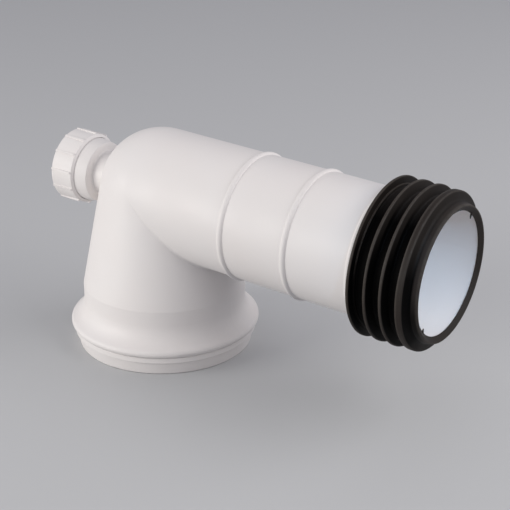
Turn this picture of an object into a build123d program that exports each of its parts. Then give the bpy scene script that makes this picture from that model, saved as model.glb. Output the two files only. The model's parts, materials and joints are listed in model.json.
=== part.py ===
from build123d import *
import math
import os

# A right-angled toilet pan connector, in millimetres and degrees. Heights are above the rim of the
# pan socket, on which the connector stands. +Z runs up the leg and +X towards the outlet. Radii are
# about the axis of the piece, and places on the arm and the boss are measured from the crossing of
# the leg's axis and the arm's axis.

# Elbow and arm
crossing_height = 118.2
arm_r = 45.0
arm_wall = 1.9
arm_length = 232.4
arm_fall = 2.5
rib_places = (82.5, 133.2, 182.9)
rib_width = 4.4
rib_height = 1.6

# Leg and bell socket
cone_foot = 46.6
socket_r = 60.2
socket_wall = 3.8
bell_flare = 10.2
bell_flare_rise = 17.2
bell_wall = 4.0
bell_lip_height = 14.4
bell_rim_rise = 3.4
bell_rim_rounding = 3.0
bell_lip_tuck = 2.0

# Ring that keeps the pan seal in the bell
ring_rim_inset = 5.8
ring_band_inset = 2.5
ring_band_low = 9.8
ring_band_step = 1.2
ring_wall = 4.0
ring_floor = 3.0
ring_mouth_inset = 0.4
ring_snap_depth = 2.2
ring_edge = 0.8
ring_lip_edge = 0.5
ring_snap_edge = 0.6
bell_seam = 0.45
bell_snap_gap = 0.15

# Finned rubber seal that grips the pan's spigot
pan_sleeve_wall = 4.0
pan_bead_gap = 0.2
pan_bead_reach = 2.6
pan_fin_count = 3
pan_fin_low = 4.6
pan_fin_pitch = 6.4
pan_fin_rise = 30.0
pan_fin_thickness = 3.4
pan_fin_land = 2.2
pan_fin_reach = 10.0

# Finned rubber sleeve on the arm's end
outlet_sleeve_wall = 3.2
outlet_sleeve_gap = 0.1
outlet_fin_height = 7.0
outlet_fin_setback = 44.8
outlet_fin_pitch = 12.6
outlet_fin_count = 3
outlet_fin_tip = 1.7
outlet_fin_root = 2.6
outlet_fin_sweep = 1.6
outlet_fin_rounding = 0.5
outlet_fin_crease = 1.0
outlet_foot_height = 1.9
outlet_foot_length = 1.1
outlet_foot_edge = 0.3
outlet_relief = 1.7
front_fin_height = 6.1
front_fin_setback = 10.0
front_fin_tip = 4.4
front_fin_root = 6.2
front_fin_rounding = 1.6
front_fin_crease = 2.4
nose_length = 3.4
nose_step = 1.6
nose_mouth_step = 0.4
nose_lip = 2.6
nose_rounding = 0.6

# Vent boss for a waste pipe
pipe_bore_r = 18.5
pipe_depth = 22.0
seat_flare = 3.1
seat_depth = 7.5
neck_r = 16.3
neck_wall = 2.3
neck_length = 3.45
neck_root_rounding = 2.5
collar_wall = 3.8
collar_length = 1.2
collar_bend = 1.5
collar_edge = 0.8
cup_wall = 5.2
cup_flare_length = 8.2
cup_length = 16.5
cup_band = 3.5
cup_rounding = 3.0
cup_edge = 0.6
thread_step = 0.7

# Nut, thrust washer and rubber ring of the boss
thread_room = 1.0
nut_wall = 2.1
nut_draft = 0.7
nut_setback = 1.8
nut_end_wall = 2.2
nut_near_rise = 1.3
nut_near_edge = 0.4
nut_far_edge = 0.5
grip_height = 1.2
grip_count = 12
grip_width = 1.4
grip_turn = 8.0
pipe_passage_gap = 0.5
boss_seal_proud = 0.6
boss_seal_gap = 0.1
boss_seal_short = 1.0
washer_thickness = 1.2
washer_gap = 0.15
washer_side_gap = 0.8

# Sizes that follow from those above
fall = math.radians(arm_fall)
arm_bore_r = arm_r - arm_wall
socket_bore_r = socket_r - socket_wall
bell_r = socket_r + bell_flare
bell_bore_r = bell_r - bell_wall
bell_rim_height = bell_lip_height + bell_rim_rise
bell_root_height = bell_rim_height + bell_flare_rise
bell_bends_r = (bell_flare_rise ** 2 + bell_flare ** 2) / (2 * bell_flare)
bell_flare_r = bell_bends_r - bell_rim_rounding
bell_flare_centre = (socket_r + bell_flare_r, bell_root_height)
bell_ceiling_r = bell_flare_r + socket_wall
ring_rim_r = bell_r - ring_rim_inset
ring_band_r = bell_r - ring_band_inset
ring_mouth_r = socket_bore_r - ring_mouth_inset
ring_top = bell_lip_height - bell_seam
ring_snap_r = bell_bore_r - bell_snap_gap
ring_snap_top = bell_lip_height + ring_snap_depth
ring_bore_r = ring_snap_r - ring_wall
pan_fin_tip_r = ring_mouth_r - pan_fin_reach
outlet_bore_r = arm_r + outlet_sleeve_gap
outlet_sleeve_r = outlet_bore_r + outlet_sleeve_wall
outlet_fin_r = outlet_sleeve_r + outlet_fin_height
outlet_foot_r = outlet_sleeve_r + outlet_foot_height
outlet_fin_first = arm_length - outlet_fin_setback
front_fin_r = outlet_sleeve_r + front_fin_height
front_fin_place = arm_length - front_fin_setback


def cone_taper(foot_r, ball_r):
    """Angle from upright of a cone that rises from the cone's foot to touch a ball about the crossing."""
    rise = crossing_height - cone_foot
    return math.acos(ball_r / math.hypot(foot_r, rise)) - math.atan2(rise, foot_r)


leg_taper = cone_taper(socket_r, arm_r)
leg_bore_taper = cone_taper(socket_bore_r, arm_bore_r)
neck_foot = (arm_r + neck_r * math.sin(leg_taper)) / math.cos(leg_taper)
neck_end = neck_foot + neck_length
neck_bore_r = neck_r - neck_wall
collar_r = pipe_bore_r + collar_wall
collar_place = neck_end + collar_length
cup_r = pipe_bore_r + cup_wall
cup_place = collar_place + cup_flare_length
cup_mouth = cup_place + cup_length
thread_r = cup_r - thread_step
thread_place = cup_place + cup_band
seat_r = pipe_bore_r + seat_flare
pipe_stop = cup_mouth - pipe_depth
passage_r = pipe_bore_r + pipe_passage_gap
nut_bore_r = thread_r + thread_room
nut_r = nut_bore_r + nut_wall
nut_far_r = nut_r + nut_draft
grip_r = nut_r + grip_height
nut_near = cup_place + nut_setback
nut_corner = nut_near + nut_near_rise
boss_seal_end = cup_mouth + boss_seal_proud
washer_place = boss_seal_end + washer_gap
nut_floor = washer_place + washer_thickness + washer_gap
nut_far = nut_floor + nut_end_wall

crossing = Vector(0, 0, crossing_height)
arm_way = Vector(math.cos(fall), 0, -math.sin(fall))
arm_frame = Plane(origin=crossing, x_dir=(0, 1, 0), z_dir=arm_way)
boss_frame = Plane(origin=crossing, x_dir=(0, 1, 0), z_dir=-arm_way)


def turned(edges):
    """Solid of revolution about Z from a closed outline of (radius, height) edges."""
    return revolve(Plane.XZ * make_face(edges), Axis.Z)


def turned_corners(corners):
    """Solid of revolution from (radius, height, rounding) corners."""
    points = [corner[:2] for corner in corners]
    roundings = [corner[2] for corner in corners]
    return turned(FilletPolyline(*points, radius=roundings, close=True).edges())


def arc(centre, radius, start, end):
    """Arc about a centre from one angle to another, in degrees."""
    return CenterArc(centre, radius, start, end - start)


def leg_solid(bell_edges, straight_r, ball_r, taper):
    """Leg over its bell: a straight stretch, then a cone that meets a ball about the crossing."""
    ball_meets = (ball_r * math.cos(taper), crossing_height + ball_r * math.sin(taper))
    cone_start = (straight_r, cone_foot)
    edges = [Line((0, bell_lip_height), bell_edges[0] @ 0)] + bell_edges
    edges.append(Line(bell_edges[-1] @ 1, cone_start))
    edges.append(Line(cone_start, ball_meets))
    edges.append(arc((0, crossing_height), ball_r, math.degrees(taper), 90))
    edges.append(Line((0, crossing_height + ball_r), (0, bell_lip_height)))
    return turned(edges)


def flare_angle(bend_r, radius):
    """Angle about the flare's centre at which a bend of that radius lies at a radius from the leg's axis."""
    return 180 + math.degrees(math.acos((bell_flare_centre[0] - radius) / bend_r))


def bell_outside():
    """Bell from its lip, past its rounded rim and up its hollow flare to the leg."""
    lip_bend_r = (bell_rim_rise ** 2 + bell_lip_tuck ** 2) / (2 * bell_lip_tuck)
    lip_angle = math.degrees(math.asin(bell_rim_rise / lip_bend_r))
    rim_centre = (bell_r - bell_rim_rounding, bell_rim_height)
    flare_end = math.degrees(math.atan2(bell_flare_rise, bell_bends_r - bell_flare))
    return [
        arc((bell_r - lip_bend_r, bell_rim_height), lip_bend_r, -lip_angle, 0),
        arc(rim_centre, bell_rim_rounding, 0, flare_end),
        arc(bell_flare_centre, bell_flare_r, 180 + flare_end, 180),
    ]


def bell_inside():
    """Bore of the bell, under a ceiling that keeps to the flare and runs out into the leg's bore."""
    ceiling = arc(bell_flare_centre, bell_ceiling_r, flare_angle(bell_ceiling_r, bell_bore_r), 180)
    return [Line((bell_bore_r, bell_lip_height), ceiling @ 0), ceiling]


def arm_solid(radius, end, ribs):
    """Arm that starts in a ball about the crossing, with raised ribs round it."""
    edges = [arc((0, 0), radius, -90, 0)]
    place = (radius, 0)
    for rib in ribs:
        rib_start = (radius, rib - rib_width / 2)
        rib_end = (radius, rib + rib_width / 2)
        edges.append(Line(place, rib_start))
        edges.append(ThreePointArc(rib_start, (radius + rib_height, rib), rib_end))
        place = rib_end
    edges.append(Line(place, (radius, end)))
    edges.append(Line((radius, end), (0, end)))
    edges.append(Line((0, end), (0, -radius)))
    return arm_frame * turned(edges)


def mitre_plane(ball_r, taper):
    """Plane in which the arm and the cone meet, since both touch one ball."""
    along = (1 / math.cos(taper) + math.tan(taper) * math.cos(fall) + math.sin(fall)) * ball_r
    along = along / (math.cos(fall) - math.tan(taper) * math.sin(fall))
    below = Vector(-math.sin(fall), 0, -math.cos(fall)) * ball_r
    inner_corner = crossing + arm_way * along + below
    pole_rise = ball_r * math.sin(taper)
    pole = crossing + Vector(pole_rise * math.tan(fall), 0, pole_rise)
    down = (inner_corner - pole).normalized()
    return Plane(origin=pole, x_dir=(0, 1, 0), z_dir=Vector(-down.Z, 0, down.X))


def elbow(leg, arm, mitre):
    """Leg and arm cut on their mitre plane and joined there."""
    return split(leg, bisect_by=mitre, keep=Keep.BOTTOM) + split(arm, bisect_by=mitre, keep=Keep.TOP)


def connector_body():
    """White moulding: bell, leg, elbow, arm and vent boss."""
    leg = leg_solid(bell_outside(), socket_r, arm_r, leg_taper)
    body = elbow(leg, arm_solid(arm_r, arm_length, rib_places), mitre_plane(arm_r, leg_taper))
    boss = boss_frame * turned_corners([
        (0, arm_r / 2, 0),
        (neck_r, arm_r / 2, 0),
        (neck_r, neck_end, collar_bend),
        (collar_r, collar_place, collar_edge),
        (cup_r, cup_place, cup_rounding),
        (cup_r, thread_place, 0),
        (thread_r, thread_place, 0),
        (thread_r, cup_mouth, cup_edge),
        (0, cup_mouth, 0),
    ])
    body = body + boss
    foot_edges = []
    for edge in body.edges().filter_by(GeomType.BSPLINE):
        middle = boss_frame.to_local_coords(edge @ 0.5)
        if math.isclose(math.hypot(middle.X, middle.Y), neck_r, rel_tol=1e-3):
            foot_edges.append(edge)
    body = fillet(foot_edges, neck_root_rounding)

    hollow_leg = leg_solid(bell_inside(), socket_bore_r, arm_bore_r, leg_bore_taper)
    hollow_arm = arm_solid(arm_bore_r, arm_length, ())
    hollow = elbow(hollow_leg, hollow_arm, mitre_plane(arm_bore_r, leg_bore_taper))
    boss_bore = boss_frame * turned_corners([
        (0, arm_r / 2, 0),
        (neck_bore_r, arm_r / 2, 0),
        (neck_bore_r, pipe_stop, 0),
        (pipe_bore_r, pipe_stop, 0),
        (pipe_bore_r, cup_mouth - seat_depth, 0),
        (seat_r, cup_mouth, 0),
        (0, cup_mouth, 0),
    ])
    return body - hollow - boss_bore


def seal_retaining_ring():
    """White ring that snaps into the bell and closes over the pan seal."""
    return turned_corners([
        (ring_mouth_r, 0, 0),
        (ring_rim_r, 0, ring_edge),
        (ring_band_r - ring_band_step, ring_band_low, 0),
        (ring_band_r, ring_band_low, ring_lip_edge),
        (ring_band_r, ring_top, ring_lip_edge),
        (ring_snap_r, ring_top, 0),
        (ring_snap_r, ring_snap_top, ring_snap_edge),
        (ring_bore_r, ring_snap_top, 0),
        (ring_bore_r, ring_floor, 0),
        (ring_mouth_r, ring_floor, ring_lip_edge),
    ])


def pan_seal():
    """Rubber ring on the retaining ring's floor, with a bead over its top and fins that rise inwards."""
    sleeve_r = ring_bore_r - pan_bead_gap
    sleeve_bore_r = sleeve_r - pan_sleeve_wall
    bead_r = sleeve_r + pan_bead_reach
    bead_low = ring_snap_top + pan_bead_gap
    bead_bend_r = bell_ceiling_r + pan_bead_gap
    bead_start = flare_angle(bead_bend_r, bead_r)
    bead_end = flare_angle(bead_bend_r, sleeve_bore_r)
    bead_top = arc(bell_flare_centre, bead_bend_r, bead_start, bead_end)
    sleeve = Polyline(
        bead_top @ 1,
        (sleeve_bore_r, ring_floor),
        (sleeve_r, ring_floor),
        (sleeve_r, bead_low),
        (bead_r, bead_low),
        bead_top @ 0,
    )
    seal = turned([bead_top] + sleeve.edges())
    root_r = sleeve_bore_r + pan_sleeve_wall / 2
    rise = (root_r - pan_fin_tip_r) * math.tan(math.radians(pan_fin_rise))
    for number in range(pan_fin_count):
        low = pan_fin_low + number * pan_fin_pitch
        seal = seal + turned_corners([
            (root_r, low, 0),
            (root_r, low + pan_fin_thickness, 0),
            (pan_fin_tip_r, low + rise + pan_fin_land, 0),
            (pan_fin_tip_r, low + rise, 0),
        ])
    return seal


def outlet_seal():
    """Rubber sleeve on the arm's end: swept fins, the first on a low foot, a broad front fin and a nose."""
    end_face = arm_length + outlet_sleeve_gap
    nose_end = end_face + nose_length
    corners = [(outlet_bore_r, outlet_fin_first + outlet_fin_sweep, 0)]
    for number in range(outlet_fin_count):
        place = outlet_fin_first + number * outlet_fin_pitch
        root = place + outlet_fin_sweep
        tip_end = place + outlet_fin_tip
        root_end = root + outlet_fin_root
        corners.append((outlet_sleeve_r, root, 0))
        corners.append((outlet_fin_r, place, outlet_fin_rounding))
        corners.append((outlet_fin_r, tip_end, outlet_fin_rounding))
        if number == 0:
            foot_start = root_end - (root_end - tip_end) * outlet_foot_height / outlet_fin_height
            corners.append((outlet_foot_r, foot_start, outlet_foot_edge))
            corners.append((outlet_foot_r, foot_start + outlet_foot_length, outlet_foot_edge))
            root_end = root_end + outlet_foot_length
        corners.append((outlet_sleeve_r, root_end, outlet_fin_crease))
    corners.append((outlet_sleeve_r, front_fin_place + outlet_fin_sweep, 0))
    corners.append((front_fin_r, front_fin_place, outlet_fin_rounding))
    corners.append((front_fin_r, front_fin_place + front_fin_tip, front_fin_rounding))
    corners.append((outlet_sleeve_r, front_fin_place + front_fin_root, front_fin_crease))
    corners.append((arm_r + nose_step, nose_end, nose_rounding))
    corners.append((arm_r + nose_mouth_step, nose_end, nose_rounding))
    corners.append((arm_r - nose_lip, end_face, 0))
    corners.append((outlet_bore_r, end_face, 0))
    relief_r = outlet_bore_r + outlet_relief
    for number in reversed(range(outlet_fin_count)):
        root = outlet_fin_first + number * outlet_fin_pitch + outlet_fin_sweep
        next_place = root + outlet_fin_pitch
        if number == outlet_fin_count - 1:
            next_place = front_fin_place + outlet_fin_sweep
        corners.append((outlet_bore_r, next_place, 0))
        corners.append((relief_r, next_place, 0))
        corners.append((relief_r, root + outlet_fin_root, 0))
        corners.append((outlet_bore_r, root + outlet_fin_root, 0))
    return arm_frame * turned_corners(corners)


def boss_seal():
    """Tapered rubber ring in the seat of the boss's mouth."""
    seat_slope = (seat_r - pipe_bore_r) / seat_depth
    small_end = cup_mouth - seat_depth + boss_seal_short
    bore_r = pipe_bore_r + boss_seal_gap
    small_r = pipe_bore_r + seat_slope * boss_seal_short - boss_seal_gap
    large_r = seat_r - boss_seal_gap
    return boss_frame * turned_corners([
        (bore_r, small_end, 0),
        (small_r, small_end, 0),
        (large_r, cup_mouth, 0),
        (large_r, boss_seal_end, 0),
        (bore_r, boss_seal_end, 0),
    ])


def boss_thrust_washer():
    """Thin ring between the boss's rubber and the nut."""
    return boss_frame * turned_corners([
        (passage_r, washer_place, 0),
        (nut_bore_r - washer_side_gap, washer_place, 0),
        (nut_bore_r - washer_side_gap, washer_place + washer_thickness, 0),
        (passage_r, washer_place + washer_thickness, 0),
    ])


def boss_nut():
    """Compression nut with a steep near face, a slight draft and thin grips along its side."""
    nut = turned_corners([
        (nut_bore_r, nut_near, 0),
        (nut_r, nut_corner, nut_near_edge),
        (nut_far_r, nut_far, nut_far_edge),
        (passage_r, nut_far, 0),
        (passage_r, nut_floor, 0),
        (nut_bore_r, nut_floor, 0),
    ])
    grip_root = nut_r - nut_wall / 2
    grip_slope = grip_height * nut_near_rise / nut_wall
    side = make_face(Polyline(
        (grip_root, nut_corner),
        (nut_r, nut_corner),
        (grip_r, nut_corner + grip_slope),
        (grip_r, nut_far),
        (grip_root, nut_far),
        close=True,
    ))
    grip = extrude(Plane.XZ * side, grip_width / 2, both=True)
    for number in range(grip_count):
        nut = nut + Rot(0, 0, grip_turn + number * 360 / grip_count) * grip
    return boss_frame * nut


os.makedirs("parts", exist_ok=True)
for piece in (
    connector_body,
    seal_retaining_ring,
    pan_seal,
    outlet_seal,
    boss_seal,
    boss_thrust_washer,
    boss_nut,
):
    export_step(piece(), f"parts/{piece.__name__}.step")
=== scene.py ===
# %% [markdown]
# A toilet pan connector
#
# This lesson dresses a white plastic elbow that joins a toilet pan to a soil pipe. Its solids come from a
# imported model, already in metres and in place. The lesson adds the camera, the light and the finishes. It
# also adds the small forms that solids leave plain: the rounded crease of the elbow, the screw threads and
# the flash on the rubber. The rubber sleeve on the outlet gets a new mesh in the place of its solid.

# %% Load the solids
import bpy
import bmesh
import json
import math
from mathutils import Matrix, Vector


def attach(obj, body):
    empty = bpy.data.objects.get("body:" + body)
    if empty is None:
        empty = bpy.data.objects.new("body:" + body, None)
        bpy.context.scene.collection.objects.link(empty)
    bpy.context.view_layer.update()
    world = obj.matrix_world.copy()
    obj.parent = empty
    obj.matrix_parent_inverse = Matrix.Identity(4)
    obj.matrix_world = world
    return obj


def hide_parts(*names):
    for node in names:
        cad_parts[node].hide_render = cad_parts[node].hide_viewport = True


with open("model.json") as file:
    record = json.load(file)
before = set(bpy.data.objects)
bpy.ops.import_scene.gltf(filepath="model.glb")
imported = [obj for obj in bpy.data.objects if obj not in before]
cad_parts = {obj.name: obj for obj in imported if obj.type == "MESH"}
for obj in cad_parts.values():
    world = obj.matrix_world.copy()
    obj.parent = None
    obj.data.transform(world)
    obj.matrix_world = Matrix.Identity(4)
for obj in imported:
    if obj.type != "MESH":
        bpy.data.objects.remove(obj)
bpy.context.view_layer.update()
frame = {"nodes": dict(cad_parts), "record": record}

# %% [markdown]
# Shape of the elbow
#
# The small forms and the rubber's dust follow the arm and the leg, so their main sizes are named once, in
# metres. The arm runs from the crossing of the two axes and falls a little towards the outlet, so that it
# drains.

# %% Shape of the elbow
crossing = Vector((0.0, 0.0, 0.1182))
arm_fall = math.radians(2.5)
arm_r = 0.045
arm_length = 0.2324
socket_r = 0.0602
cone_foot = 0.0466
cone_rise = crossing.z - cone_foot
leg_taper = math.acos(arm_r / math.hypot(socket_r, cone_rise)) - math.atan2(cone_rise, socket_r)
along_arm = Vector((math.cos(arm_fall), 0.0, -math.sin(arm_fall)))
below_arm = Vector((-math.sin(arm_fall), 0.0, -math.cos(arm_fall)))
beside_arm = Vector((0.0, 1.0, 0.0))
print("the leg tapers by", round(math.degrees(leg_taper), 2), "degrees")

# %% [markdown]
# The camera
#
# The photograph was taken with a long lens from a little above, on the outlet's side. A long lens keeps the
# arm from looking too big at its near end. The camera is placed by two angles and a distance from a point
# in the middle of the connector, because those are easy to read and to change. The lamps are placed in the
# same way.

# %% Place the camera
view_target = Vector((0.0814, 0.0, 0.0851))
view_azimuth = 33.87
view_height = 23.33
view_distance = 1.0105


def direction(azimuth, height):
    """Direction away from the connector, by angles in degrees. Azimuth 0 is in front, 90 at the outlet."""
    turn = math.radians(azimuth)
    rise = math.radians(height)
    return Vector((math.sin(turn) * math.cos(rise), -math.cos(turn) * math.cos(rise), math.sin(rise)))


towards_camera = direction(view_azimuth, view_height)
camera = bpy.data.objects.new("studio_camera", bpy.data.cameras.new("studio_camera"))
camera.data.sensor_width = 36.0
camera.data.lens = 100.64
camera.location = view_target + towards_camera * view_distance
camera.rotation_mode = "QUATERNION"
camera.rotation_quaternion = (-towards_camera).to_track_quat("-Z", "Y")
bpy.context.scene.collection.objects.link(camera)
bpy.context.scene.camera = camera
bpy.context.scene.view_settings.view_transform = "Standard"
print("camera at", [round(v, 3) for v in camera.location])

# %% [markdown]
# Helpers for node trees
#
# The floor, the finishes and the threads are all made of nodes. Setting up one node takes several lines, so
# a few helpers do it. One links or sets the inputs of a node, one makes a new node, and the others stand
# for the sums, ramps and mixes that come up again and again.

# %% Helpers for node trees


def connect(tree, node, **sockets):
    """Links or sets inputs. An underscore in a name stands for a space, and i0 for the first input."""
    for label, value in sockets.items():
        if label[1:].isdigit():
            socket = node.inputs[int(label[1:])]
        else:
            socket = node.inputs[label.replace("_", " ")]
        if isinstance(value, bpy.types.NodeSocket):
            tree.links.new(value, socket)
        else:
            socket.default_value = value


def step(tree, kind, settings=None, **sockets):
    """New node with its settings and its inputs."""
    node = tree.nodes.new(kind)
    for label, value in (settings or {}).items():
        setattr(node, label, value)
    connect(tree, node, **sockets)
    return node


def sum_of(tree, operation, first, second):
    """Result of one sum on two numbers."""
    return step(tree, "ShaderNodeMath", {"operation": operation}, i0=first, i1=second).outputs["Value"]


def between(tree, source, start, end, at_start, at_end):
    """Value that goes from one level to another while its source goes from start to end."""
    ranged = step(
        tree, "ShaderNodeMapRange", Value=source,
        From_Min=start, From_Max=end, To_Min=at_start, To_Max=at_end,
    )
    return ranged.outputs["Result"]


def mixed(tree, factor, under, over):
    """Colour that goes from one to another as the factor goes from 0 to 1."""
    mix = step(tree, "ShaderNodeMix", {"data_type": "RGBA"}, Factor=factor, A=under, B=over)
    return mix.outputs["Result"]


print("helpers:", connect.__name__, step.__name__, sum_of.__name__, between.__name__, mixed.__name__)

# %% [markdown]
# Floor and light
#
# A wide pale floor gives the connector something to stand on. The floor in the photograph is darker and
# throws little light back up, so this one is pale only to the eye and in reflections, and darker to the
# light that bounces off it. That keeps the shade under the arm.
#
# The lamps are large soft panels, as in a product studio, so that white plastic keeps its round shading and
# nothing burns out. The main panel stands low to the left in front. Two weaker ones, on the outlet's side
# and behind it, edge the ribs and the top of the arm. The room's own light is cooler and fills the rest. A
# small cool spot looks into the arm, whose inside would otherwise stay dark. The floor is spared by that
# spot, because its light would show there as a patch.

# %% Floor
floor_half = 4.0
floor_seen = (0.56, 0.57, 0.58, 1)
floor_bounce = (0.31, 0.315, 0.33, 1)
floor_mesh = bpy.data.meshes.new("studio_floor")
floor_corners = [(x * floor_half, y * floor_half, 0) for x, y in ((-1, -1), (1, -1), (1, 1), (-1, 1))]
floor_mesh.from_pydata(floor_corners, [], [(0, 1, 2, 3)])
floor = bpy.data.objects.new("studio_floor", floor_mesh)
bpy.context.scene.collection.objects.link(floor)
floor_paint = bpy.data.materials.new("studio_floor")
floor_paint.use_nodes = True
floor_tree = floor_paint.node_tree
light_path = floor_tree.nodes.new("ShaderNodeLightPath")
seen = light_path.outputs["Is Camera Ray"]
for way in ("Is Glossy Ray", "Is Transmission Ray"):
    seen = sum_of(floor_tree, "MAXIMUM", seen, light_path.outputs[way])
connect(
    floor_tree, floor_tree.nodes["Principled BSDF"],
    Base_Color=mixed(floor_tree, seen, floor_bounce, floor_seen), Roughness=0.6,
)
floor_mesh.materials.append(floor_paint)
print("floor", 2 * floor_half, "m wide")

# %% Soft panels
lamp_target = Vector((0.06, 0.0, 0.09))
panel_distance = 1.7


def aimed(lamp, target, azimuth, height, distance):
    """Object for a lamp that looks at a target from a direction."""
    away = direction(azimuth, height)
    holder = bpy.data.objects.new(lamp.name, lamp)
    holder.location = target + away * distance
    holder.rotation_mode = "QUATERNION"
    holder.rotation_quaternion = away.to_track_quat("Z", "Y")
    bpy.context.scene.collection.objects.link(holder)
    return holder


def soft_panel(name, azimuth, height, width, tall, power, colour):
    """Rectangular soft lamp that faces the connector."""
    lamp = bpy.data.lights.new(name, "AREA")
    lamp.shape = "RECTANGLE"
    lamp.size = width
    lamp.size_y = tall
    lamp.energy = power
    lamp.color = colour
    return aimed(lamp, lamp_target, azimuth, height, panel_distance)


# Each panel has its two angles, its width and height in metres, its power in watts and its colour.
panels = [
    soft_panel("main_panel", -38, 11, 1.0, 0.8, 18.0, (1.0, 0.975, 0.93)),
    soft_panel("outlet_panel", 87, 27, 1.0, 1.0, 8.8, (1.0, 0.98, 0.95)),
    soft_panel("back_panel", 125, 40, 1.0, 1.0, 7.0, (1.0, 0.97, 0.97)),
]
print("panels:", [panel.name for panel in panels])

# %% Spot and room light
mouth_centre = Vector((0.232, 0.0, 0.108))
spot = bpy.data.lights.new("mouth_spot", "SPOT")
spot.energy = 58.0
spot.color = (0.50, 0.73, 1.0)
spot.spot_size = math.radians(5.0)
spot.spot_blend = 0.8
spot.shadow_soft_size = 0.06
mouth_lamp = aimed(spot, mouth_centre, azimuth=50, height=34, distance=1.2)
spared = bpy.data.collections.new("spared_by_spot")
spared.objects.link(floor)
spared.collection_objects[0].light_linking.link_state = "EXCLUDE"
mouth_lamp.light_linking.receiver_collection = spared
room = bpy.data.worlds.new("studio_room")
room.use_nodes = True
connect(room.node_tree, room.node_tree.nodes["Background"], Color=(0.945, 0.935, 1.0, 1), Strength=0.445)
bpy.context.scene.world = room
print("spot:", mouth_lamp.name, "room:", room.name)

# %% [markdown]
# White plastic
#
# The body, the ring and the nut are moulded in white polypropylene: warm white, with a satin skin that is
# never perfectly even. A flat colour would look like paper. Slow noise shifts the colour and the gloss a
# little over several centimetres, and very fine noise gives the skin its faint ripple.

# %% White plastic: helpers for finishes


def finish_nodes(name):
    """New node material, with its tree, its shader and the place of a point in its object."""
    material = bpy.data.materials.new(name)
    material.use_nodes = True
    tree = material.node_tree
    place = tree.nodes.new("ShaderNodeTexCoord").outputs["Object"]
    return material, tree, tree.nodes["Principled BSDF"], place


def noise_of(tree, place, cells, detail):
    """Noise with that many cells a metre."""
    return step(tree, "ShaderNodeTexNoise", Vector=place, Scale=cells, Detail=detail).outputs["Fac"]


def spread(tree, noise, low, high):
    """Noise stretched over a range. Nearly all of a noise lies between 0.3 and 0.7."""
    return between(tree, noise, 0.3, 0.7, low, high)


def ripple(tree, height, strength, depth):
    """Bump from a height, with its depth in metres."""
    bump = step(tree, "ShaderNodeBump", Strength=strength, Distance=depth, Height=height)
    return bump.outputs["Normal"]


print("helpers:", finish_nodes.__name__, noise_of.__name__, spread.__name__, ripple.__name__)

# %% White plastic
smoothest = -0.04
roughest = 0.05


def moulded_plastic(name, pale, warm, rough, skin_cells, skin_depth):
    """Moulded plastic with slow shifts of colour and gloss and a fine skin."""
    material, tree, shader, place = finish_nodes(name)
    drift = noise_of(tree, place, cells=18.0, detail=2.0)
    cloud = noise_of(tree, place, cells=60.0, detail=3.0)
    skin = noise_of(tree, place, cells=skin_cells, detail=2.0)
    connect(
        tree, shader, IOR=1.49, Specular_IOR_Level=0.40,
        Base_Color=mixed(tree, spread(tree, drift, 0.0, 1.0), pale, warm),
        Roughness=spread(tree, cloud, rough + smoothest, rough + roughest),
        Normal=ripple(tree, skin, strength=0.35, depth=skin_depth),
    )
    return material


white_plastic = moulded_plastic(
    "moulded_white", pale=(0.820, 0.795, 0.785, 1), warm=(0.815, 0.780, 0.765, 1),
    rough=0.50, skin_cells=700.0, skin_depth=0.00003,
)
washer_plastic = moulded_plastic(
    "washer_nylon", pale=(0.640, 0.640, 0.615, 1), warm=(0.610, 0.605, 0.575, 1),
    rough=0.55, skin_cells=900.0, skin_depth=0.00002,
)
print("plastics:", white_plastic.name, washer_plastic.name)

# %% [markdown]
# Sizes of the outlet seal
#
# The rubber sleeve on the arm's end has three thin fins that sweep backwards, the first on a low foot, then
# a broad front fin and a nose with a lip. Its sizes are named here, because both the rubber's finish and
# the sleeve's own mesh follow them. Every place is measured along the arm, and every radius from the arm's
# axis.

# %% Sizes of the outlet seal
sleeve_bore_r = arm_r + 0.0001
sleeve_r = 0.0483
fin_r = 0.05528
fin_places = (0.18760, 0.19985, 0.21140)
fin_sweep = 0.0016
fin_tip = 0.0017
fin_root = 0.0026
foot_r = 0.0502
foot_place = 0.1900
foot_end = 0.1907
foot_slope = 0.0005
front_fin_r = 0.0545
front_fin_place = 0.2228
front_fin_end = 0.2271
front_root_end = 0.2288
nose_r = 0.0469
nose_mouth_r = 0.0458
nose_end = arm_length + 0.0028
lip_r = 0.0424
lip_place = arm_length + 0.0001
fin_gaps = [round((after - before) * 1000, 2) for before, after in zip(fin_places, fin_places[1:])]
print("fins", fin_gaps, "mm apart")

# %% [markdown]
# Black rubber
#
# The seals are moulded in soft black rubber. It is nearly black, with a brown cast in places. The edges of
# the fins carry a grey bloom that is partly dust and partly painted highlight, brighter where they look
# upwards. The grooves and the faces turned from the main lamp get painted shade, nearly black, most of it
# low on the front. Masks draw both. They read three numbers: the reach of a point from the arm's axis, its
# run along the arm, and how high it lies on the round, from -1 at the foot to 1 at the top.
# A mapping turns the arm's axis into X, and the length of what is left across it is the reach.

# %% Black rubber: grain and bloom
black_rubber, rubber_tree, rubber_shader, rubber_place = finish_nodes("seal_rubber")
rubber_dark = (0.0130, 0.0090, 0.0070, 1)
rubber_brown = (0.0205, 0.0147, 0.0115, 1)
bloom = noise_of(rubber_tree, rubber_place, cells=45.0, detail=4.0)
rubber_grain = noise_of(rubber_tree, rubber_place, cells=1400.0, detail=3.0)
rubber_colour = mixed(rubber_tree, spread(rubber_tree, bloom, 0.0, 1.0), rubber_dark, rubber_brown)
connect(
    rubber_tree, rubber_shader, IOR=1.50,
    Roughness=spread(rubber_tree, bloom, 0.52, 0.64),
    Normal=ripple(rubber_tree, rubber_grain, strength=0.4, depth=0.00003),
)
print("rubber:", black_rubber.name)

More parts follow.
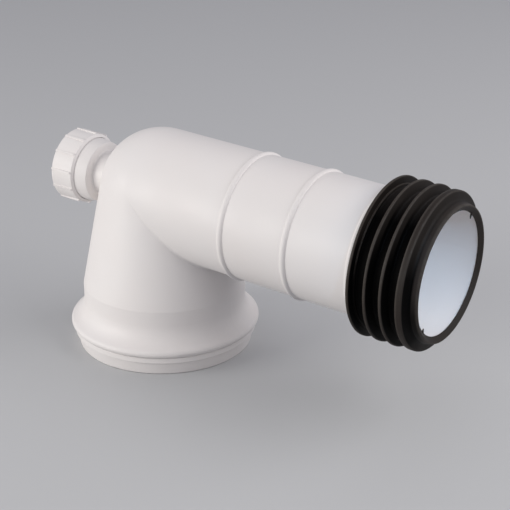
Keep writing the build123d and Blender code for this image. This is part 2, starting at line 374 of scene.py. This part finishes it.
# %% Black rubber: place on the sleeve
on_arm = step(
    rubber_tree, "ShaderNodeMapping", {"vector_type": "TEXTURE"},
    Vector=rubber_place, Location=crossing, Rotation=(0.0, arm_fall, 0.0),
)
across_arm = step(
    rubber_tree, "ShaderNodeVectorMath", {"operation": "MULTIPLY"},
    i0=on_arm.outputs["Vector"], i1=(0.0, 1.0, 1.0),
)
axis_distance = step(
    rubber_tree, "ShaderNodeVectorMath", {"operation": "LENGTH"}, i0=across_arm.outputs["Vector"],
)
arm_place = step(rubber_tree, "ShaderNodeSeparateXYZ", Vector=on_arm.outputs["Vector"])
reach = axis_distance.outputs["Value"]
run = arm_place.outputs["X"]
high = sum_of(rubber_tree, "DIVIDE", arm_place.outputs["Z"], reach)
print("rubber nodes:", len(rubber_tree.nodes))

# %% Black rubber: mask helpers


def ramp(source, start, end, at_start, at_end):
    """Mask that goes from one level to another while its source goes from start to end."""
    return between(rubber_tree, source, start, end, at_start, at_end)


def all_of(*masks):
    """Product of several masks."""
    result = masks[0]
    for mask in masks[1:]:
        result = sum_of(rubber_tree, "MULTIPLY", result, mask)
    return result


def either_of(*masks):
    """Highest of several masks."""
    result = masks[0]
    for mask in masks[1:]:
        result = sum_of(rubber_tree, "MAXIMUM", result, mask)
    return result


def stretch(source, start, end, fade):
    """Mask that is 1 from start to end, with a soft fade outside both."""
    return all_of(ramp(source, start - fade, start, 0.0, 1.0), ramp(source, end, end + fade, 1.0, 0.0))


print("helpers:", ramp.__name__, all_of.__name__, either_of.__name__, stretch.__name__)

# %% Black rubber: painted shade in the grooves
tip_width = 0.0012
tip_edge = 0.0004
# Painted shade: the grooves and the faces turned from the main lamp go nearly black, most of all low on the
# front.
shade_black = (0.0012, 0.0010, 0.0009, 1)
# Each ramp has two places, and then the mask's level at both.
front_shade = all_of(ramp(high, -1.1, -0.7, 0.2, 1.0), ramp(high, 0.25, 0.7, 1.0, 0.45))
groove_floor_shade = all_of(ramp(reach, 0.0505, 0.0530, 1.0, 0.0), ramp(high, 0.8, 1.0, 1.0, 0.35))
groove_round_shade = either_of(ramp(high, 0.35, 0.95, 1.0, 0.35), groove_floor_shade)
nose_shade = all_of(ramp(high, -0.3, 0.1, 0.75, 0.0), ramp(high, -0.9, -0.6, 0.1, 1.0))
below_tips = ramp(reach, fin_r - tip_width, fin_r - tip_edge, 1.0, 0.0)
below_front_tip = ramp(reach, front_fin_r - tip_width, front_fin_r - tip_edge, 1.0, 0.0)
outside_mouth = ramp(reach, nose_mouth_r, nose_mouth_r + 0.0006, 0.0, 1.0)
shade_parts = []
# Painted shade in the grooves, on the first fin's front, on the front fin's face and on the nose.
for start, end, fade, across, around in (
    (foot_end + 0.0003, front_fin_place - 0.0004, 0.0003, below_tips, groove_round_shade),
    (fin_places[0], foot_end, 0.0003, below_tips, front_shade),
    (front_fin_end + 0.0002, front_root_end + 0.0016, 0.0012, below_front_tip, front_shade),
    (front_root_end, nose_end - 0.0016, 0.0008, outside_mouth, nose_shade),
):
    shade_parts.append(all_of(stretch(run, start, end, fade), across, around))
painted_shade = either_of(*shade_parts)
shaded_rubber_colour = mixed(rubber_tree, painted_shade, rubber_colour, shade_black)
print("painted shade parts:", len(shade_parts))

# %% Black rubber: dust and painted highlight on the edges
# Partly dust and partly painted highlight: a grey bloom on the edges, brighter where they face upwards.
dust_and_highlight = (0.0450, 0.0368, 0.0305, 1)
fin_tip_dust_and_highlight = (fin_r - 0.0003, fin_r + 0.0010, 0.0004)
dust_and_highlight_parts = [all_of(stretch(reach, *fin_tip_dust_and_highlight), ramp(high, -0.75, -0.1, 0.2, 1.0))]
# The front fin's two edges, the foot's edge and the nose's edge: along the arm, across it and round it.
for along_edge, across_edge, around_edge in (
    (
        (front_fin_place - 0.0002, front_fin_place + 0.0007, 0.0010),
        (front_fin_r - 0.0004, front_fin_r + 0.0002, 0.0004),
        (-0.75, -0.1, 0.4, 1.0),
    ),
    (
        (front_fin_end - 0.0006, front_fin_end, 0.0005),
        (front_fin_r - 0.0008, front_fin_r + 0.0002, 0.0005),
        (0.0, 0.6, 0.05, 0.6),
    ),
    (
        (foot_place, foot_end, 0.0002),
        (foot_r - 0.0003, foot_r + 0.0003, 0.0003),
        (0.0, 0.4, 0.0, 0.9),
    ),
    (
        (nose_end - 0.0012, nose_end, 0.0010),
        (nose_r - 0.0008, nose_r + 0.0006, 0.0004),
        (-0.6, 0.4, 0.4, 1.0),
    ),
):
    edge_masks = (stretch(run, *along_edge), stretch(reach, *across_edge), ramp(high, *around_edge))
    dust_and_highlight_parts.append(all_of(*edge_masks))
scuffs = noise_of(rubber_tree, rubber_place, cells=220.0, detail=4.0)
edge_dust_and_highlight = all_of(either_of(*dust_and_highlight_parts), spread(rubber_tree, scuffs, 0.6, 1.15))
# The painted shade also takes most of the reflection out of the grooves.
connect(
    rubber_tree, rubber_shader,
    Base_Color=mixed(rubber_tree, edge_dust_and_highlight, shaded_rubber_colour, dust_and_highlight),
    Specular_IOR_Level=ramp(painted_shade, 0.0, 1.0, 0.22, 0.04),
)
print("dust and highlight parts:", len(dust_and_highlight_parts), "rubber nodes:", len(rubber_tree.nodes))

# %% [markdown]
# Finishes on the solids
#
# Each solid keeps its shape and gets its finish in its own material slot.

# %% Dress the solids
finishes = {"white_plastic": white_plastic, "washer_plastic": washer_plastic, "black_rubber": black_rubber}
for subpart in frame["record"]["subparts"]:
    node = frame["nodes"][subpart["node"]]
    finish = finishes[subpart["material_slot"]]
    if not node.material_slots:
        node.data.materials.append(finish)
    for slot in node.material_slots:
        slot.material = finish
    print(subpart["node"], "wears", finish.name)

# %% [markdown]
# Helpers for meshes
#
# The crease, the sleeve and the flash are all rows of points with faces between one row and the next. So
# one helper joins rows, and one makes a smooth object of the finished mesh and hands it to the body it
# rides on.

# %% Helpers for meshes
weld_distance = 1e-6


def join_rows(mesh_code, rows):
    """Faces between each closed row of points and the next."""
    for before, after in zip(rows, rows[1:]):
        for here in range(len(before)):
            there = (here + 1) % len(before)
            mesh_code.faces.new((before[here], before[there], after[there], after[here]))


def piece_from(mesh_code, name, finish, body, slot_name, sharp=None):
    """Smooth object with its finish, on its body. Edges that turn by the sharp angle or more stay sharp."""
    bmesh.ops.recalc_face_normals(mesh_code, faces=mesh_code.faces)
    for face in mesh_code.faces:
        face.smooth = True
    if sharp is not None:
        for edge in mesh_code.edges:
            edge.smooth = edge.calc_face_angle(0.0) < sharp
    mesh = bpy.data.meshes.new(name)
    mesh_code.to_mesh(mesh)
    mesh_code.free()
    mesh.materials.append(finish)
    piece = bpy.data.objects.new(name, mesh)
    bpy.context.scene.collection.objects.link(piece)
    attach(piece, body)
    return piece


print("helpers:", join_rows.__name__, piece_from.__name__)

# %% [markdown]
# The rounded crease
#
# The arm and the tapered leg meet in a crease, which the mould leaves slightly rounded. A ball that rolls
# along the crease touches both walls and leaves such a rounding. The wall of the arm and the wall of the
# leg both touch one large ball about the point where their axes cross. So the rolling ball's centre keeps
# to a plane, and each place on its path follows from one angle round the arm. The rounding fades out by
# itself where the two walls run level. A bevel would change the solid, so the rounding is a thin piece of
# its own that lies in the crease.

# %% Rounded crease: where the walls meet
level_angle = 1e-4


def crease_point(ball_r, turn):
    """Place where the walls meet if both grow to touch a ball of that radius, and the way out from each."""
    ahead = ball_r * (math.sin(leg_taper) + math.cos(arm_fall) * math.cos(turn))
    ahead = ahead / (math.cos(leg_taper) - math.sin(arm_fall))
    arm_out = below_arm * math.cos(turn) + beside_arm * math.sin(turn)
    place = crossing + along_arm * ahead + arm_out * ball_r
    level = Vector((place.x, place.y, 0.0)).normalized()
    leg_out = level * math.cos(leg_taper) + Vector((0.0, 0.0, math.sin(leg_taper)))
    return place, arm_out, leg_out


def part_way(first, second, share):
    """Direction at a share of the way from one direction to another."""
    sweep = first.angle(second, 0.0)
    if sweep < level_angle:
        return first
    return (first * math.sin((1 - share) * sweep) + second * math.sin(share * sweep)) / math.sin(sweep)


print("crease below the arm at", [round(v, 4) for v in crease_point(arm_r, 0.0)[0]])

# %% Rounded crease
crease_rounding = 0.0018
crease_sunk = 0.0003
crease_steps = 160
crease_arc_steps = 8
crease_end_turn = math.acos(-math.sin(leg_taper) / math.cos(arm_fall))

crease_mesh = bmesh.new()
sections = []
for station in range(crease_steps + 1):
    turn = crease_end_turn * math.sin(math.pi * (station / crease_steps - 0.5))
    centre, arm_out, leg_out = crease_point(arm_r + crease_rounding, turn)
    corner, corner_arm_out, corner_leg_out = crease_point(arm_r, turn)
    section = []
    for number in range(crease_arc_steps + 1):
        towards = part_way(arm_out, leg_out, number / crease_arc_steps)
        section.append(crease_mesh.verts.new(centre - towards * crease_rounding))
    sunk = corner - (corner_arm_out + corner_leg_out).normalized() * crease_sunk
    section.append(crease_mesh.verts.new(sunk))
    sections.append(section)
join_rows(crease_mesh, sections)
crease_mesh.faces.new(sections[0])
crease_mesh.faces.new(list(reversed(sections[-1])))
bmesh.ops.remove_doubles(crease_mesh, verts=crease_mesh.verts, dist=weld_distance)
crease = piece_from(crease_mesh, "elbow_crease", white_plastic, "connector", "white_plastic")
print("crease faces:", len(crease.data.polygons))

# %% [markdown]
# The outlet seal
#
# The sleeve is round, so one outline turned about the arm's axis makes it. A screw modifier could turn it,
# but plain mesh code also lets the thin fins wave a little, as soft rubber does. The outline is a list of
# corners, each with its place, its radius and its rounding. A rounding is drawn as a short curve with the
# corner as its handle.

# %% Outline of the outlet seal
seal_corners = [(fin_places[0] + fin_sweep, sleeve_bore_r, 0.0)]
for number, place in enumerate(fin_places):
    root = place + fin_sweep
    seal_corners.append((root, sleeve_r, 0.0))
    seal_corners.append((place, fin_r, 0.0005))
    seal_corners.append((place + fin_tip, fin_r, 0.0005))
    if number == 0:
        seal_corners.append((foot_place, foot_r, 0.0002))
        seal_corners.append((foot_end, foot_r, 0.0003))
        seal_corners.append((foot_end + foot_slope, sleeve_r, 0.0004))
    else:
        seal_corners.append((root + fin_root, sleeve_r, 0.0010))
seal_corners += [
    (front_fin_place + fin_sweep, sleeve_r, 0.0),
    (front_fin_place, front_fin_r, 0.0005),
    (front_fin_end, front_fin_r, 0.0008),
    (front_root_end, sleeve_r, 0.0020),
    (nose_end, nose_r, 0.0004),
    (nose_end, nose_mouth_r, 0.0004),
    (lip_place, lip_r, 0.0),
    (lip_place, sleeve_bore_r, 0.0),
]
print("outline corners:", len(seal_corners))

# %% Rounded outline of the outlet seal
curve_steps = 6


def rounded_outline(corners):
    """Points of a closed outline, with its corners rounded."""
    points = []
    for before, corner, after in zip(corners[-1:] + corners[:-1], corners, corners[1:] + corners[:1]):
        here = Vector(corner[:2])
        rounding = corner[2]
        if rounding == 0.0:
            points.append(here)
            continue
        first = here + (Vector(before[:2]) - here).normalized() * rounding
        last = here + (Vector(after[:2]) - here).normalized() * rounding
        for number in range(curve_steps + 1):
            share = number / curve_steps
            points.append(first * (1 - share) ** 2 + here * 2 * share * (1 - share) + last * share ** 2)
    return points


seal_outline = rounded_outline(seal_corners)
print("outline points:", len(seal_outline))

# %% Turn the outlet seal
seal_turns = 256
fin_wave = 0.00012
waves_round = 5
wave_shift = 700
seal_sharp = math.radians(35)


def out_from_arm(turn):
    """Direction out from the arm's axis, at an angle from the front towards the top."""
    return -beside_arm * math.cos(turn) - below_arm * math.sin(turn)


seal_mesh = bmesh.new()
seal_rows = []
for number in range(seal_turns):
    turn = 2 * math.pi * number / seal_turns
    row = []
    for place, radius in seal_outline:
        height = max(0.0, (radius - sleeve_r) / (fin_r - sleeve_r))
        wave = fin_wave * height * math.sin(waves_round * turn + place * wave_shift)
        row.append(seal_mesh.verts.new(crossing + along_arm * (place + wave) + out_from_arm(turn) * radius))
    seal_rows.append(row)
join_rows(seal_mesh, seal_rows + seal_rows[:1])
seal_sleeve = piece_from(seal_mesh, "outlet_sleeve", black_rubber, "connector", "black_rubber", seal_sharp)
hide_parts("outlet_seal")
print("seal faces:", len(seal_sleeve.data.polygons))

# %% [markdown]
# Screw threads
#
# The nut screws onto the cup of the vent boss. A screw thread is one small outline carried along a helix,
# so a node tree makes it: a spiral, a trapezium swept along it, and ends that run out to nothing. One tree
# makes both threads. The boss's stands outwards, the nut's stands inwards and lies half a pitch further
# along, so that the two fit into each other with a little play, at rest and all the way off.

# %% Thread tree
thread_tree = bpy.data.node_groups.new("screw_thread", "GeometryNodeTree")
thread_tree.interface.new_socket("Geometry", in_out="OUTPUT", socket_type="NodeSocketGeometry")
thread_inputs = {}
for label, kind in (
    ("Root radius", "NodeSocketFloat"),
    ("Depth", "NodeSocketFloat"),
    ("Root width", "NodeSocketFloat"),
    ("Crest width", "NodeSocketFloat"),
    ("Pitch", "NodeSocketFloat"),
    ("Turns", "NodeSocketFloat"),
    ("Place", "NodeSocketVector"),
    ("Lean", "NodeSocketRotation"),
    ("Finish", "NodeSocketMaterial"),
):
    socket = thread_tree.interface.new_socket(label, in_out="INPUT", socket_type=kind)
    thread_inputs[label] = socket.identifier
given = thread_tree.nodes.new("NodeGroupInput").outputs
print("thread inputs:", list(thread_inputs))

# %% Helix of the thread
spiral = step(
    thread_tree, "GeometryNodeCurveSpiral", Resolution=96, Rotations=given["Turns"],
    Start_Radius=given["Root radius"], End_Radius=given["Root radius"],
    Height=sum_of(thread_tree, "MULTIPLY", given["Turns"], given["Pitch"]),
)
helix = step(thread_tree, "GeometryNodeSetCurveNormal", {"mode": "Z_UP"}, Curve=spiral.outputs["Curve"])
print("helix nodes:", len(thread_tree.nodes))

# %% Outline of the thread
outline = step(thread_tree, "GeometryNodeCurvePrimitiveQuadrilateral", {"mode": "POINTS"})
for point, deep, width, share in (
    ("Point 1", False, "Root width", -0.5),
    ("Point 2", True, "Crest width", -0.5),
    ("Point 3", True, "Crest width", 0.5),
    ("Point 4", False, "Root width", 0.5),
):
    corner = step(thread_tree, "ShaderNodeCombineXYZ", Y=sum_of(thread_tree, "MULTIPLY", given[width], share))
    if deep:
        connect(thread_tree, corner, X=sum_of(thread_tree, "MULTIPLY", given["Depth"], -1.0))
    thread_tree.links.new(corner.outputs["Vector"], outline.inputs[point])
print("outline corners:", [point.name for point in outline.inputs if point.enabled])

# %% Sweep, run-out and place of the thread
run_out = 0.05
run_out_size = 0.1
along = thread_tree.nodes.new("GeometryNodeSplineParameter").outputs["Factor"]
to_end = sum_of(thread_tree, "MINIMUM", along, sum_of(thread_tree, "SUBTRACT", 1.0, along))
swept = step(
    thread_tree, "GeometryNodeCurveToMesh", Curve=helix.outputs["Curve"],
    Profile_Curve=outline.outputs["Curve"],
    Scale=between(thread_tree, to_end, 0.0, run_out, run_out_size, 1.0), Fill_Caps=True,
)
placed = step(
    thread_tree, "GeometryNodeTransform", Geometry=swept.outputs["Mesh"],
    Translation=given["Place"], Rotation=given["Lean"],
)
real = step(thread_tree, "GeometryNodeRealizeInstances", Geometry=placed.outputs["Geometry"])
coloured = step(
    thread_tree, "GeometryNodeSetMaterial", Geometry=real.outputs["Geometry"], Material=given["Finish"],
)
step(thread_tree, "NodeGroupOutput", Geometry=coloured.outputs["Geometry"])
print("thread nodes:", len(thread_tree.nodes))

# %% Plain mesh of a thread
along_boss = -along_arm
boss_lean = (0.0, arm_fall - math.pi / 2, 0.0)
thread_pitch = 0.0030
thread_sunk = 0.00015
thread_height = 0.0007
thread_root_width = 0.0017
thread_crest_width = 0.0006


def screw_thread(name, body, root_r, way, start, turns):
    """Thread that stands outwards (way 1) or inwards (way -1) from a round wall of the boss."""
    host = bpy.data.objects.new(name, bpy.data.meshes.new(name))
    bpy.context.scene.collection.objects.link(host)
    nodes = host.modifiers.new("thread", "NODES")
    nodes.node_group = thread_tree
    for label, value in (
        ("Root radius", root_r - way * thread_sunk),
        ("Depth", way * (thread_height + thread_sunk)),
        ("Root width", thread_root_width),
        ("Crest width", thread_crest_width),
        ("Pitch", thread_pitch),
        ("Turns", turns),
        ("Place", tuple(crossing + along_boss * start)),
        ("Lean", boss_lean),
        ("Finish", white_plastic),
    ):
        nodes[thread_inputs[label]] = value
    bpy.context.view_layer.update()
    plain = bpy.data.meshes.new_from_object(host.evaluated_get(bpy.context.evaluated_depsgraph_get()))
    host.modifiers.clear()
    host.data = plain
    mesh_code = bmesh.new()
    mesh_code.from_mesh(plain)
    bmesh.ops.remove_doubles(mesh_code, verts=mesh_code.verts, dist=weld_distance)
    bmesh.ops.recalc_face_normals(mesh_code, faces=mesh_code.faces)
    mesh_code.to_mesh(plain)
    mesh_code.free()
    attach(host, body)
    return host


print("thread pitch", thread_pitch, "m")

# %% Threads of the boss and the nut
boss_thread_r = 0.0230
nut_bore_r = 0.0240
thread_start = 0.0669
nut_start = thread_start + thread_pitch / 2
threads = [
    screw_thread("boss_thread", "connector", boss_thread_r, way=1, start=thread_start, turns=3.4),
    screw_thread("nut_thread", "nut", nut_bore_r, way=-1, start=nut_start, turns=2.9),
]
for thread in threads:
    from_crossing = [v.co - crossing for v in thread.data.vertices]
    places = [offset.dot(along_boss) for offset in from_crossing]
    radii = [(offset - along_boss * place).length for offset, place in zip(from_crossing, places)]
    print(thread.name, "radius", round(min(radii), 5), "to", round(max(radii), 5))
    print(thread.name, "along", round(min(places), 5), "to", round(max(places), 5))

# %% [markdown]
# Flash on the rubber
#
# Where the two halves of a rubber mould meet, a little rubber creeps out and leaves wisps. Two of them hang
# from the inner edge of the outlet's lip: a hooked one near the top and a short flat one near the foot.
# Each is a row of small rings that shrink towards the tip, so its length, width and bend are easy to
# change.

# %% Flash on the rubber
nib_rows = 7
nib_sides = 10
nib_slimming = 0.6
nib_root = 0.0009
nib_ahead = 0.0006
nib_backwards = 0.0008


def rubber_nib(name, turn, length, width, thickness, bend):
    """Wisp that hangs inwards from the lip's inner edge, at an angle from the front towards the top."""
    out = out_from_arm(turn)
    sideways = beside_arm * math.sin(turn) - below_arm * math.cos(turn)
    nib_mesh = bmesh.new()
    rows = []
    for number in range(nib_rows):
        share = number / (nib_rows - 1)
        slim = 1.0 - nib_slimming * share ** 2
        centre = crossing + out * (lip_r + nib_root - share * (length + nib_root))
        centre = centre + along_arm * (lip_place + nib_ahead - nib_backwards * share)
        centre = centre + sideways * bend * share ** 2
        row = []
        for side in range(nib_sides):
            angle = 2 * math.pi * side / nib_sides
            offset = sideways * math.cos(angle) * width / 2 + along_arm * math.sin(angle) * thickness / 2
            row.append(nib_mesh.verts.new(centre + offset * slim))
        rows.append(row)
    join_rows(nib_mesh, rows)
    nib_mesh.faces.new(rows[0])
    nib_mesh.faces.new(rows[-1])
    return piece_from(nib_mesh, name, black_rubber, "connector", "black_rubber")


# Each wisp has its angle, its length, its width, its thickness and its bend.
nibs = [
    rubber_nib("lip_nib_high", math.radians(127.0), 0.0028, 0.0022, 0.0014, 0.0026),
    rubber_nib("lip_nib_low", math.radians(316.0), 0.0020, 0.0032, 0.0012, -0.0003),
]
print("nibs:", [nib.name for nib in nibs])
